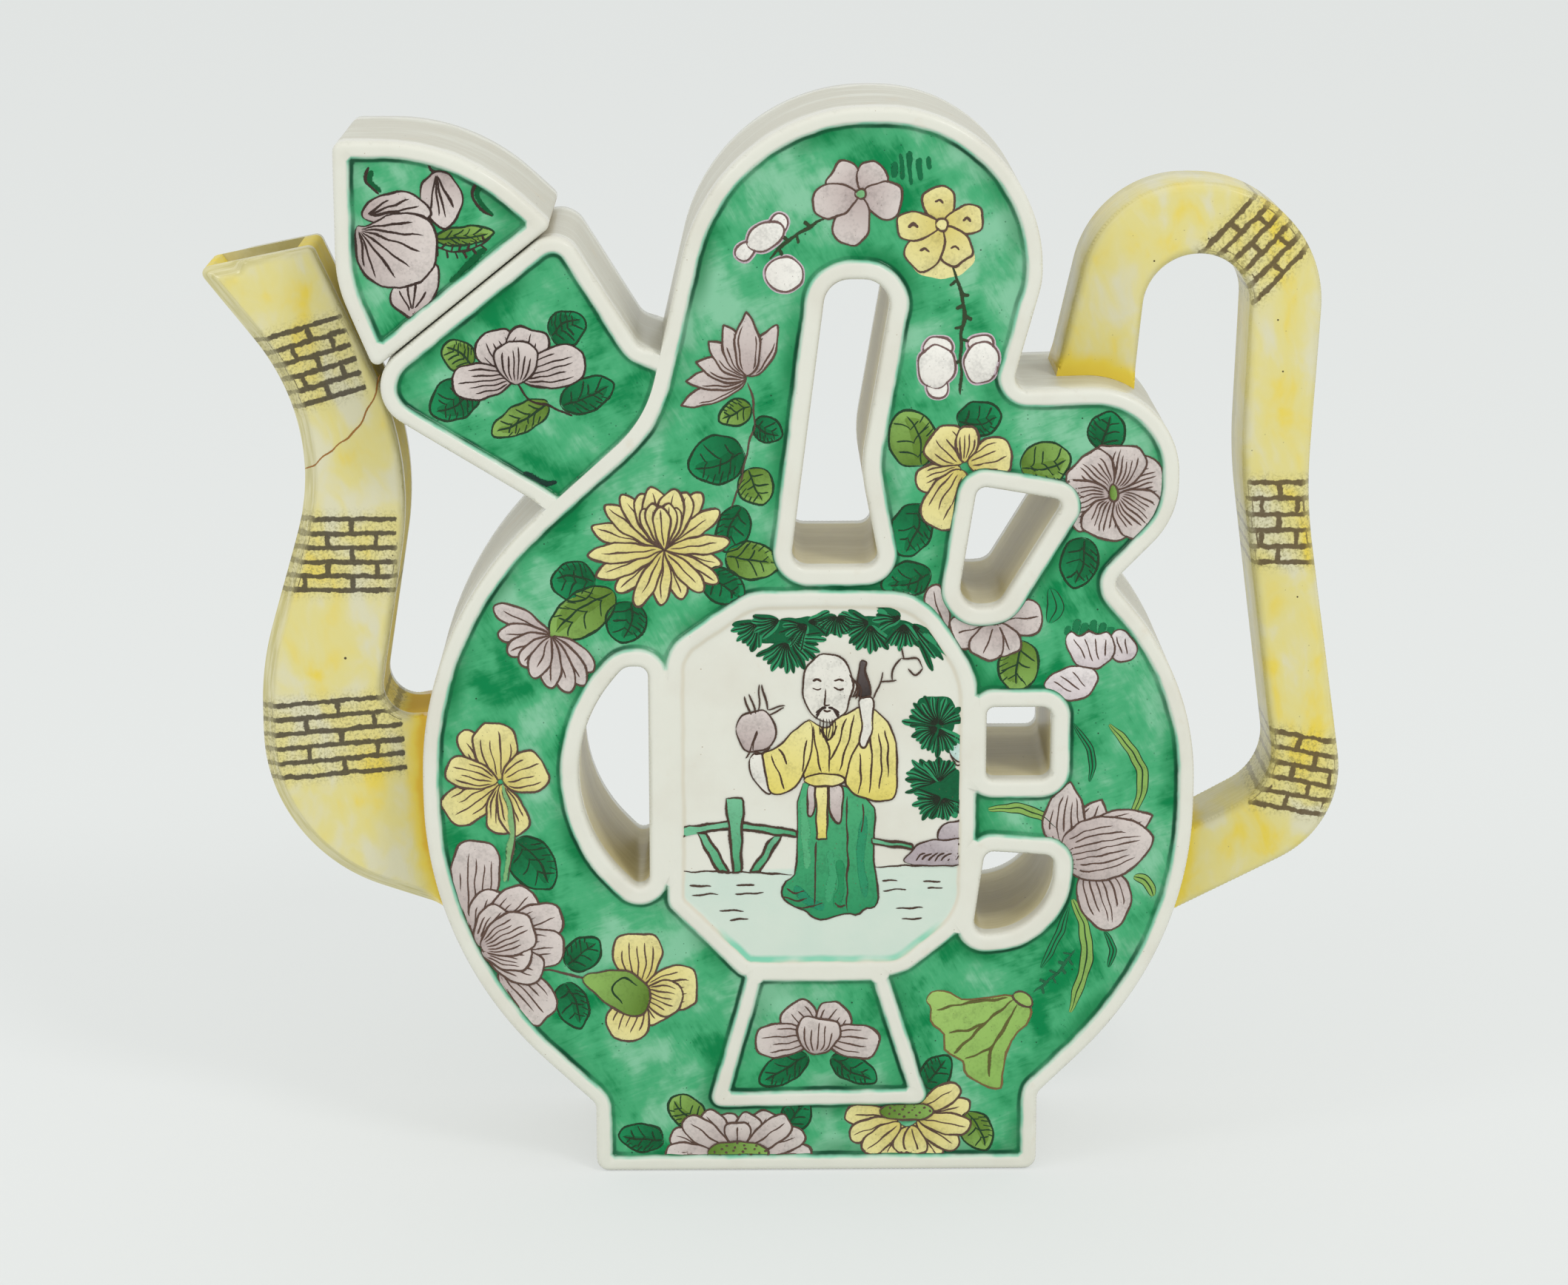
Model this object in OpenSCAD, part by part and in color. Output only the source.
// Slab-built wine jug with a pierced, flat-faced body, a box neck with a lift-off cover,
// a hollow curved spout and a flat strap handle. Millimetres.
// The origin is the middle of the foot's resting face. +X is to the right seen from the front,
// +Y runs to the back and +Z is up.

/* [Body] */
// Height of the body from the foot to the top of the arch
body_h = 215; // [172:1:258]
// Width of the body across the belly
body_w = 152.5; // [122:0.5:183]
// Depth of the body, neck and cover from front face to back face
body_d = 44; // [36:0.5:60]
// Thickness of the clay slabs and strips
wall = 4; // [3:0.1:5]

/* [Raised borders] */
// Width of the border along the outer edge of a face
rim_w = 3.2; // [2:0.1:4.5]
// Width of the border round each window
window_rim_w = 3.7; // [2:0.1:4.5]
// Width of the border round the picture panel
panel_rim_w = 3.2; // [2:0.1:4.5]
// Height of the borders over the painted ground
rim_h = 1.2; // [0.6:0.1:2]
// Height of the border round the picture panel over its picture
panel_rim_h = 0.6; // [0.3:0.1:1]

/* [Spout] */
// Depth of the spout from front to back
spout_d = 20; // [14:0.5:28]
// Thickness of the spout's slabs
spout_wall = 3; // [2:0.1:4]
// Least gap between the spout and the neck's corner or the cover
spout_gap = 1.1; // [0.8:0.1:2]

/* [Handle] */
// Depth of the strap from front to back
handle_d = 20; // [14:0.5:26]
// Distance that the strap sits behind the middle of the body
handle_back = 3; // [0:0.5:4]

/* [Mouth and cover] */
// Length of the mouth along the sloping seat
mouth_l = 22; // [18:0.5:26]
// Width of the seat in front of and behind the mouth
mouth_lip = 5; // [4:0.5:7]
// Length of the cover along the seat
cover_l = 44.5; // [40:0.5:46]
// Thickness of the cover's slabs
cover_wall = 4; // [3:0.1:5]
// Gap between the cover and its seat
seat_gap = 0.4; // [0.2:0.1:1]
// Depth that the plug reaches below the seat
plug_h = 4; // [2:0.5:5]
// Thickness of the plug's sides
plug_wall = 2.5; // [2:0.1:3.5]
// Play between the plug and the mouth
plug_play = 0.8; // [0.4:0.1:1.5]

/* [Hidden] */

// Outlines are drawn on a template of this size and stretched to the body's own size.
template_w = 152.5;
template_h = 215;
stretch_x = body_w / template_w;
stretch_z = body_h / template_h;
stretch_r = min(stretch_x, stretch_z);
// Largest distance between an arc and the chord that stands for it
arc_tol = 0.05;
// Overshoot of a cut past the face that it opens
past = 1;
// Planes of the front face and of the back of the front slab
front_y = -body_d / 2;
slab_y = front_y + wall;
spout_y = spout_d / 2;
mouth_y = body_d / 2 - wall - mouth_lip;

// Colours of the glazes and of the bare side walls
green_glaze = "mediumseagreen";
white_glaze = "ivory";
yellow_glaze = "khaki";
side_glaze = "antiquewhite";

// A template outline, [x, z, corner radius] per vertex, stretched to the body's size
function sized(pts) = [for (p = pts) [p[0] * stretch_x, p[1] * stretch_z, p[2] * stretch_r]];
// A template point stretched the same way
function spot(x, z) = [x * stretch_x, z * stretch_z];

function flat(p) = [p[0], p[1]];
function unit(v) = v / norm(v);
function left_of(v) = [-v[1], v[0]];
function turn_of(u, v) = atan2(cross(u, v), u * v);
// Point on the line from p through q, at s times their distance
function along(p, q, s) = flat(p) + (flat(q) - flat(p)) * s;
function direction(pts, i) =
    let (n = len(pts))
    unit(flat(pts[(i + 1) % n]) - flat(pts[(i + n) % n]));

// Moves each edge of an anticlockwise outline inwards, edge i by ds[i], or every edge by ds.
// Outer corners lose as much radius as their edges move, inner corners gain it.
function inset(pts, ds) =
    let (n = len(pts))
    [for (i = [0 : n - 1])
        let (
            u = direction(pts, i - 1),
            v = direction(pts, i),
            a = is_list(ds) ? ds[(i + n - 1) % n] : ds,
            b = is_list(ds) ? ds[i] : ds,
            c = cross(u, v),
            p = flat(pts[i]) + (a * v - b * u) / c,
            r = pts[i][2] == 0 ? 0 : max(0, pts[i][2] - sign(c) * (a + b) / 2)
        )
        [p[0], p[1], r]
    ];

// Tangent length that the rounding of corner i takes from its two edges
function tangent(pts, i) =
    let (n = len(pts), k = (i + n) % n)
    pts[k][2] * tan(abs(turn_of(direction(pts, k - 1), direction(pts, k))) / 2);
// Share of an edge's tangents that fits on the edge from corner i to the next
function edge_fit(pts, i) =
    let (n = len(pts), k = (i + n) % n, need = tangent(pts, k) + tangent(pts, k + 1))
    need == 0 ? 1 : min(1, norm(flat(pts[(k + 1) % n]) - flat(pts[k])) / need);

// Number of chords in an arc, odd so that no point lies on the corner's mitre
function chords(r, turn) = 2 * ceil(abs(turn) / (4 * acos(1 - arc_tol / r))) + 1;

// Centre of the arc that rounds corner i
function arc_centre(pts, i) =
    let (
        n = len(pts),
        u = direction(pts, i - 1),
        turn = turn_of(u, direction(pts, i)),
        r = pts[(i + n) % n][2]
    )
    flat(pts[(i + n) % n]) - u * r * tan(abs(turn) / 2) + left_of(u) * sign(turn) * r;

// Points of an outline with each corner rounded by an arc, limited by the edges beside it
function rounded(pts) =
    [for (i = [0 : len(pts) - 1])
        let (
            u = direction(pts, i - 1),
            turn = turn_of(u, direction(pts, i)),
            r = pts[i][2] * min(edge_fit(pts, i - 1), edge_fit(pts, i)),
            steps = r < 4 * arc_tol ? 0 : chords(r, turn),
            start = flat(pts[i]) - u * r * tan(abs(turn) / 2),
            arm = -left_of(u) * sign(turn) * r
        )
        each steps == 0 ? [flat(pts[i])] : [for (k = [0 : steps])
            let (a = turn * k / steps)
            start - arm + [arm[0] * cos(a) - arm[1] * sin(a), arm[0] * sin(a) + arm[1] * cos(a)]
        ]
    ];

// Outer edge of the body: foot, right belly, ear and shelf, arch, left shoulder and belly
foot_x = 44.5 * stretch_x;
body_edge = sized([
    [-44.5, 0, 2.5], [44.5, 0, 2.5], [44.5, 16.2, 2.5], [74.6, 46.4, 74], [74.6, 101.4, 55],
    [57.5, 122, 2.5], [70.2, 135.2, 17], [70.2, 161.2, 17], [37.2, 160.3, 2.5], [43, 181.5, 16],
    [43, 215, 31], [-19.5, 215, 37], [-33.3, 155, 25], [-77.9, 114.6, 71], [-77.9, 46.2, 77],
    [-44.5, 14.3, 2.5]
]);
body_in = inset(body_edge, wall);

// Openings of the five windows
tall_window = sized([
    [-5.4, 125.5, 3], [12.2, 125.5, 2.5], [8.3, 145, 25], [14.6, 182, 5], [1.6, 182, 5]
]);
crescent_window = sized([[-33.3, 57.5, 2], [-33.3, 105.5, 2], [-38, 105.5, 3], [-57.8, 82, 30]]);
wedge_window = sized([[27.2, 117, 4], [35.6, 117.6, 3.5], [48.2, 138.6, 1.5], [31, 141.6, 2]]);
square_window = sized([[33.4, 82.2, 1.5], [46.2, 82.2, 2], [46.2, 97, 2], [33.4, 97, 1.5]]);
quarter_window = sized([[31, 50, 2.5], [47.2, 50.6, 13], [47.2, 66.4, 2], [33.4, 67.4, 2]]);
windows = [tall_window, crescent_window, wedge_window, square_window, quarter_window];

// Picture panel in the middle of each face, and the tapered panel that stands under it
picture_panel = sized([
    [-15, 41.4, 3], [17, 41.4, 10], [31.4, 53, 14], [31.4, 104, 16], [20.5, 120.8, 14],
    [-13.5, 120.8, 12], [-29.8, 109.5, 9], [-29.8, 56.4, 3]
]);
tapered_panel = sized([[-21.8, 13.6, 2], [22.8, 14.2, 2], [13.6, 43.5, 0], [-13.6, 43.5, 0]]);

// Neck: left corner, lower edge running into the body, inner edge, and the sloping seat
neck_edge = sized([
    [-90.2, 160.4, 8], [-48, 134.5, 0], [-26, 150, 0], [-24, 165, 0], [-34.6, 169.2, 4],
    [-49.5, 193.1, 5.5]
]);
// Edges 1 and 2 lie inside the body, where the neck is open.
open_edge = -2;
neck_in = inset(neck_edge, [wall, open_edge, open_edge, wall, wall, wall]);

// The seat is the neck's last edge. Places on it are a distance uphill from its middle
// and a height square to it.
seat_low = flat(neck_edge[0]);
seat_high = flat(neck_edge[5]);
seat_mid = along(seat_low, seat_high, 0.55);
uphill = unit(seat_high - seat_low);
seat_tilt = atan2(uphill[1], uphill[0]);
function on_seat(a, h) = seat_mid + uphill * a + left_of(uphill) * h;
function seat_box(a0, a1, h0, h1) = [
    [each on_seat(a0, h0), 0], [each on_seat(a1, h0), 0],
    [each on_seat(a1, h1), 0], [each on_seat(a0, h1), 0]
];

// Cover: its sole on the seat, then right corner, crown and left side
cover_edge = concat(
    [[each on_seat(-cover_l / 2, seat_gap), 1.5], [each on_seat(cover_l / 2, seat_gap), 1.5]],
    sized([[-68, 208.6, 40], [-92.3, 208.6, 2], [-92.3, 181.5, 25]])
);
cover_in = inset(cover_edge, cover_wall);
// Points clear outside the cover's crown and left side
crown_far_left = spot(-60, 230);
crown_far_right = spot(-30, 215);
side_far_low = spot(-110, 165);
side_far_high = spot(-110, 205);
// The plug clears the mouth when the cover is lifted straight up, so its uphill side is set
// back by the distance that the plug then travels along the seat.
plug_low = -mouth_l / 2 + plug_play;
plug_high = mouth_l / 2 - plug_play - (plug_h + seat_gap) * tan(seat_tilt);
plug_y = mouth_y - plug_play;

// The upper stretch of the spout's inner edge runs past the neck's rounded corner and the cover's
// corners, and is shifted square to itself until it clears them all.
stretch_low = spot(-79, 145.1);
stretch_high = spot(-97.9, 187);
outward = left_of(unit(stretch_high - stretch_low));
function shift_for(p, r) = r + spout_gap - (stretch_low - p) * outward;
stretch_shift = outward * max(
    shift_for(arc_centre(neck_edge, 0), neck_edge[0][2]),
    shift_for(flat(cover_edge[0]), 0),
    shift_for(flat(cover_edge[4]), 0)
);

// Spout: lip, outer edge down to the body, and inner edge back up to the lip
spout_edge = concat(
    sized([
        [-120.7, 182.3, 1.5], [-96.3, 151, 43], [-110.6, 102.4, 60], [-110.6, 64.3, 34],
        [-60, 47.3, 0], [-60, 94, 0], [-87.5, 92, 6]
    ]),
    [
        [each stretch_low + stretch_shift, 60 * stretch_r],
        [each stretch_high + stretch_shift, 1.5 * stretch_r]
    ]
);
// Edges 0 to 3 are the spout's outer side, 5 to 7 its inner side, 8 its open lip.
function spout_inset(outer, inner) = inset(
    spout_edge,
    [outer, outer, outer, outer, open_edge, inner, inner, inner, open_edge]
);
spout_bore = spout_inset(spout_wall, spout_wall);

// Handle: outer edge from the lower root up and over to the shelf, then the inner edge back
handle_edge = sized([
    [66, 46.5, 0], [107.8, 67.8, 21], [97.4, 136, 100], [100.2, 198.6, 24], [55.5, 198.6, 22],
    [46.3, 157, 0], [62.3, 156, 0], [64.9, 184.5, 11], [85.2, 184.5, 9.8], [84.1, 142, 100],
    [93, 76.8, 12], [68, 63.1, 0]
]);

// Lines along which the strips of the side wall are cut off and joined: two pass through
// inner corners of the body, one runs through the neck
cut_reach = 4;
shelf_cut_in = spot(28, 150);
shelf_cut_out = along(shelf_cut_in, body_edge[8], cut_reach);
waist_cut_in = spot(44, 124);
waist_cut_out = along(waist_cut_in, body_edge[5], cut_reach);
neck_cut_in = spot(-30, 140);
neck_cut_out = spot(-60, 170);
// Reach of the mitres at the foot's corners to the inside and to the outside
mitre_in = 24;
mitre_out = 16;
// Points inside the belly and clear outside the jug, where the cuts turn
belly_left = spot(-20, 60);
belly_right = spot(20, 60);
far_left = spot(-140, 170);
far_left_foot = spot(-140, -20);
far_top_left = spot(-80, 240);
far_top_right = spot(60, 240);
far_right = spot(125, 190);
far_right_foot = spot(125, -20);
arch_low = spot(0, 160);
arch_high = spot(0, 220);
// Reach of a mitre outside and inside a corner, as shares of the wall's mitre line
mitre_over = -2;
mitre_under = 3;

// Solid of an outline between two planes across the depth
module prism(outline, y0, y1) {
    translate([0, y1, 0])
        rotate([90, 0, 0])
            linear_extrude(y1 - y0)
                polygon(rounded(outline));
}

// Straight-sided prism over plain points, to cut a ring into strips
module sector(points) {
    translate([0, body_d, 0])
        rotate([90, 0, 0])
            linear_extrude(2 * body_d)
                polygon(points);
}

// Strip of clay between two outlines, standing between the front and back slabs
module ring(outer, inner) {
    difference() {
        prism(outer, slab_y, -slab_y);
        prism(inner, slab_y - past, past - slab_y);
    }
}

// Front face of the body: pierced slab with raised borders and a sunk ground
module face_slab() {
    difference() {
        prism(body_edge, front_y, slab_y);
        for (w = windows)
            prism(w, front_y - past, slab_y + past);
        difference() {
            prism(inset(body_edge, rim_w), front_y - past, front_y + rim_h);
            for (w = windows)
                prism(inset(w, -window_rim_w), front_y - 2 * past, slab_y);
            prism(picture_panel, front_y - 2 * past, slab_y);
            difference() {
                prism(tapered_panel, front_y - 2 * past, slab_y);
                prism(inset(tapered_panel, rim_w), front_y - 3 * past, slab_y + past);
            }
        }
        prism(inset(picture_panel, panel_rim_w), front_y - past, front_y + panel_rim_h);
    }
}

module front_slab() {
    color(green_glaze) face_slab();
}

module back_slab() {
    color(green_glaze) mirror([0, 1, 0]) face_slab();
}

// The side wall between the slabs, open at the neck
module side_ring() {
    difference() {
        ring(body_edge, body_in);
        prism(neck_in, front_y, -front_y);
    }
}

module base_strip() {
    color(white_glaze) intersection() {
        ring(body_edge, body_in);
        sector([
            [-foot_x - mitre_out, -mitre_out], [foot_x + mitre_out, -mitre_out],
            [foot_x - mitre_in, mitre_in], [mitre_in - foot_x, mitre_in]
        ]);
    }
}

module left_wall() {
    color(side_glaze) difference() {
        intersection() {
            side_ring();
            sector([
                [-foot_x - mitre_out, -mitre_out], [mitre_in - foot_x, mitre_in], belly_left,
                neck_cut_in, neck_cut_out, far_left, far_left_foot
            ]);
        }
        prism(spout_bore, spout_wall - spout_y, spout_y - spout_wall);
    }
}

module arch_wall() {
    color(side_glaze) intersection() {
        side_ring();
        sector([neck_cut_in, shelf_cut_in, shelf_cut_out, far_top_right, far_top_left, neck_cut_out]);
    }
}

module shelf_wall() {
    color(side_glaze) intersection() {
        side_ring();
        sector([shelf_cut_in, waist_cut_in, waist_cut_out, far_right, shelf_cut_out]);
    }
}

module right_wall() {
    color(side_glaze) intersection() {
        side_ring();
        sector([
            waist_cut_in, belly_right, [foot_x - mitre_in, mitre_in],
            [foot_x + mitre_out, -mitre_out], far_right_foot, waist_cut_out
        ]);
    }
}

// Short tube that lines a window between the slabs
module window_wall(opening) {
    color(side_glaze) ring(inset(opening, -wall), opening);
}

module tall_window_wall() {
    window_wall(tall_window);
}

module crescent_window_wall() {
    window_wall(crescent_window);
}

module wedge_window_wall() {
    window_wall(wedge_window);
}

module square_window_wall() {
    window_wall(square_window);
}

module quarter_window_wall() {
    window_wall(quarter_window);
}

// Front of the neck: a slab that butts on the body's shoulder, with its own border
module neck_slab() {
    difference() {
        prism(neck_edge, front_y, slab_y);
        prism(body_edge, front_y - past, slab_y + past);
        prism(inset(neck_edge, rim_w), front_y - past, front_y + rim_h);
    }
}

module neck_front() {
    color(green_glaze) neck_slab();
}

module neck_back() {
    color(green_glaze) mirror([0, 1, 0]) neck_slab();
}

// Side strips of the neck, ending on the body's shoulder
module neck_ring() {
    difference() {
        ring(neck_edge, neck_in);
        prism(body_edge, front_y, -front_y);
    }
}

// Outer and inner end of the mitre at corner i of a ring between two outlines
function over(outer, inner, i) = along(outer[i], inner[i], mitre_over);
function under(outer, inner, i) = along(outer[i], inner[i], mitre_under);

// Region of a ring between the mitres at its corners i and j, bulging out to the given points
module between_corners(outer, inner, i, j, bulge = []) {
    sector([
        over(outer, inner, i), under(outer, inner, i),
        under(outer, inner, j), over(outer, inner, j), each bulge
    ]);
}

module neck_mouth_strip() {
    color(white_glaze) difference() {
        intersection() {
            neck_ring();
            between_corners(neck_edge, neck_in, 5, 0);
        }
        prism(seat_box(-mouth_l / 2, mouth_l / 2, -2 * wall, wall), -mouth_y, mouth_y);
    }
}

module neck_lower_wall() {
    color(side_glaze) intersection() {
        neck_ring();
        between_corners(neck_edge, neck_in, 0, 1);
    }
}

module neck_upper_wall() {
    color(side_glaze) intersection() {
        neck_ring();
        sector([
            over(neck_edge, neck_in, 5), under(neck_edge, neck_in, 5), neck_cut_in, arch_low, arch_high
        ]);
    }
}

// Broad slab of the spout, ending on the body's left wall
module spout_slab() {
    difference() {
        prism(spout_edge, -spout_y, spout_wall - spout_y);
        prism(body_edge, front_y, -front_y);
    }
}

module spout_front() {
    color(yellow_glaze) spout_slab();
}

module spout_back() {
    color(yellow_glaze) mirror([0, 1, 0]) spout_slab();
}

// Narrow strip of the spout, between its broad slabs and outside the given outline
module spout_strip(off) {
    color(yellow_glaze) difference() {
        prism(spout_edge, spout_wall - spout_y, spout_y - spout_wall);
        prism(off, -spout_y, spout_y);
        prism(body_edge, front_y, -front_y);
    }
}

module spout_outer_wall() {
    spout_strip(spout_inset(spout_wall, open_edge));
}

module spout_inner_wall() {
    spout_strip(spout_inset(open_edge, spout_wall));
}

module handle() {
    color(yellow_glaze) difference() {
        prism(handle_edge, handle_back - handle_d / 2, handle_back + handle_d / 2);
        prism(body_edge, front_y, -front_y);
    }
}

// Front of the cover, a slab with its own border
module cover_slab() {
    difference() {
        prism(cover_edge, front_y, front_y + cover_wall);
        prism(inset(cover_edge, rim_w), front_y - past, front_y + rim_h);
    }
}

module cover_front() {
    color(green_glaze) cover_slab();
}

module cover_back() {
    color(green_glaze) mirror([0, 1, 0]) cover_slab();
}

// Strip of the cover between its slabs, from the mitre at corner i to the one at corner j
module cover_strip(i, j, bulge = []) {
    intersection() {
        difference() {
            prism(cover_edge, front_y + cover_wall, -front_y - cover_wall);
            prism(cover_in, front_y, -front_y);
        }
        between_corners(cover_edge, cover_in, i, j, bulge);
    }
}

module cover_floor() {
    color(white_glaze) cover_strip(0, 1);
}

module cover_crown() {
    color(side_glaze) cover_strip(1, 3, [crown_far_left, crown_far_right]);
}

module cover_side() {
    color(side_glaze) cover_strip(3, 0, [side_far_low, side_far_high]);
}

// Hollow collar under the cover that drops into the mouth
module cover_plug() {
    color(white_glaze) difference() {
        prism(seat_box(plug_low, plug_high, -plug_h, seat_gap), -plug_y, plug_y);
        prism(
            seat_box(plug_low + plug_wall, plug_high - plug_wall, -plug_h - past, seat_gap + past),
            plug_wall - plug_y, plug_y - plug_wall
        );
    }
}

front_slab();
back_slab();
base_strip();
left_wall();
arch_wall();
shelf_wall();
right_wall();
tall_window_wall();
crescent_window_wall();
wedge_window_wall();
square_window_wall();
quarter_window_wall();
neck_front();
neck_back();
neck_lower_wall();
neck_mouth_strip();
neck_upper_wall();
spout_front();
spout_back();
spout_outer_wall();
spout_inner_wall();
handle();
cover_front();
cover_back();
cover_floor();
cover_crown();
cover_side();
cover_plug();
